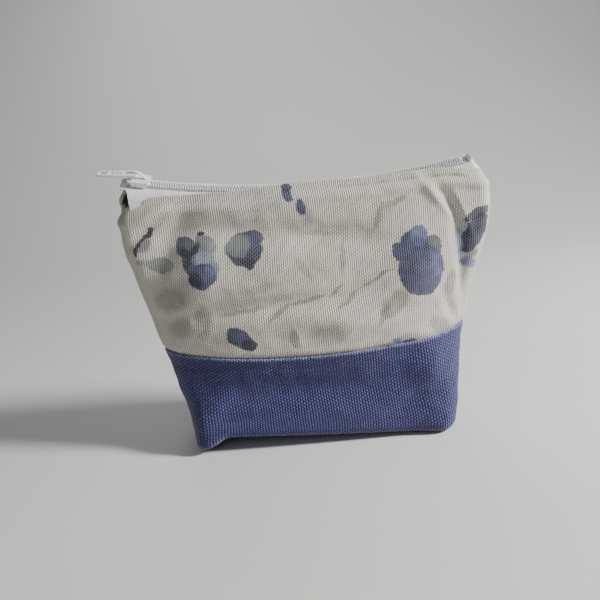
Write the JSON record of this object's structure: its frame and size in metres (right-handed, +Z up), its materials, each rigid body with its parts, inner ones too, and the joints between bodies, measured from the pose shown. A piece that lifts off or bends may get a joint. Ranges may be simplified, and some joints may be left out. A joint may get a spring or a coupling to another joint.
{
  "type": "zippered pouch",
  "caption": "Small free-standing cloth pouch with a boxed base, a plain base band below patterned walls, a lining, and a coil zip whose slider runs along the top and carries a tilting pull.",
  "frame": {"origin": "centre of the flat face the pouch stands on", "axes": "+X along the zip from its closed end (slider) to its bottom stop, -Y out of the front face, +Z up"},
  "size_m": [0.1516, 0.0452, 0.1133],
  "materials": {
    "canvas": "matt woven canvas, printed",
    "band": "matt ribbed weave",
    "fleece": "matt felt",
    "lining": "matt plain weave",
    "zip_tape": "matt woven tape",
    "zip_coil": "satin",
    "thread": "matt",
    "stop": "satin",
    "slider": "gloss white"
  },
  "bodies": {
    "pouch": {"front_panel": "canvas", "back_panel": "canvas", "front_base_band": "band", "back_base_band": "band", "front_interlining": "fleece", "back_interlining": "fleece", "front_lining": "lining", "back_lining": "lining", "front_zip_tape": "zip_tape", "back_zip_tape": "zip_tape", "front_zip_coil": "zip_coil", "back_zip_coil": "zip_coil", "front_coil_stitching": "thread", "back_coil_stitching": "thread", "front_zip_seam_thread": "thread", "back_zip_seam_thread": "thread", "left_side_seam_thread": "thread", "right_side_seam_thread": "thread", "bottom_seam_thread": "thread", "front_band_seam_thread": "thread", "back_band_seam_thread": "thread", "front_top_stop": "stop", "back_top_stop": "stop", "bottom_stop": "stop"},
    "slider": {"slider_body": "slider", "slider_crown": "slider"},
    "pull": {"pull_tab": "slider"}
  },
  "joints": [
    {"name": "slider_travel", "type": "hinge", "parent": "pouch", "child": "slider", "pos_m": [0, 0, 0.4514], "axis": [0, -1, 0], "range_deg": [0, 20.3]},
    {"name": "pull_tab_flip", "type": "hinge", "parent": "slider", "child": "pull", "pos_m": [-0.06429, -0.00217, 0.11119], "axis": [0.0914, 0.866, 0.4916], "range_deg": [0, 190]}
  ]
}
